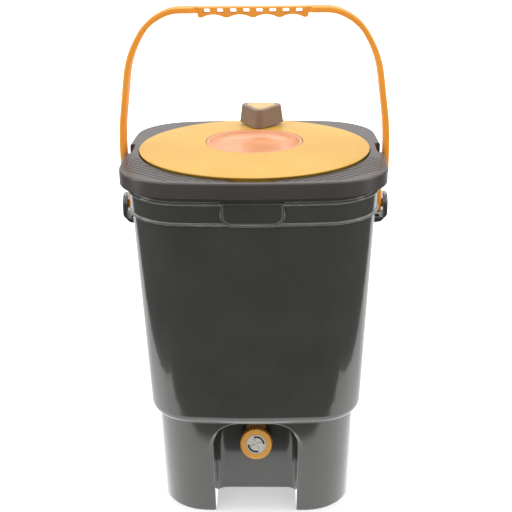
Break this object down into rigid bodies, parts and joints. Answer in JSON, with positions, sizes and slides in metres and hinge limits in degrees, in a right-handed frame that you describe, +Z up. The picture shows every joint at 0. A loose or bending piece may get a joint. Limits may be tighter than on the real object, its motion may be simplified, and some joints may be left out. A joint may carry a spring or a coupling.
{
  "type": "compost bin",
  "caption": "Tall tapered kitchen compost bin with a stepped foot, a niche with a drain tap, a square lid with a round domed hatch and knob, and a swinging bail handle.",
  "frame": {"origin": "on the floor, under the middle of the part's overall box", "axes": "+Z up, the tap and the niche face -Y, +X to the right seen from the front"},
  "size_m": [0.3152, 0.292, 0.5865],
  "materials": {
    "bucket": "satin",
    "lid": "fine grain",
    "grate": "matt",
    "seal": "matt",
    "hatch": "satin",
    "dish": "gloss, slightly translucent",
    "knob": "matt",
    "inlay": "satin",
    "steel": "zinc plated",
    "bail": "satin",
    "tap_body": "satin",
    "tap_nut": "matt",
    "spindle": "matt",
    "tap_ring": "satin",
    "tap_insert": "satin",
    "print": "matt"
  },
  "bodies": {
    "body": {"bucket": "bucket", "tap_body": "tap_body", "tap_washer": "seal", "tap_lock_nut": "tap_nut"},
    "grate": {"drain_grate": "grate"},
    "lid": {"lid_frame": "lid", "lid_gasket": "seal"},
    "hatch_seal": {"hatch_gasket": "seal"},
    "hatch": {"hatch_disc": "hatch", "centre_dish": "dish", "knob_body": "knob", "knob_inlay": "inlay", "knob_screw": "steel", "knob_washer": "steel"},
    "bail": {"bail_handle": "bail"},
    "tap_knob": {"tap_ring": "tap_ring", "tap_insert": "tap_insert", "tap_arrows": "print", "tap_spindle": "spindle", "tap_o_rings": "seal"}
  },
  "joints": [
    {"name": "lid_lift", "type": "slide", "parent": "body", "child": "lid", "axis": [0, 0, 1], "range_m": [0, 0.05]},
    {"name": "hatch_lift", "type": "slide", "parent": "lid", "child": "hatch_seal", "axis": [0, 0, 1], "range_m": [0, 0.03]},
    {"name": "hatch_turn", "type": "hinge", "parent": "hatch_seal", "child": "hatch", "pos_m": [0, 0, 0.42], "axis": [0, 0, 1], "continuous": true},
    {"name": "bail_swing", "type": "hinge", "parent": "body", "child": "bail", "pos_m": [0, 0, 0.357], "axis": [1, 0, 0], "range_deg": [-90, 90]},
    {"name": "grate_lift", "type": "slide", "parent": "body", "child": "grate", "axis": [0, 0, 1], "range_m": [0, 0.26]},
    {"name": "tap_turn", "type": "hinge", "parent": "body", "child": "tap_knob", "pos_m": [0, -0.0646, 0.06781], "axis": [0, -0.9848, 0.1736], "range_deg": [-90, 0]}
  ]
}
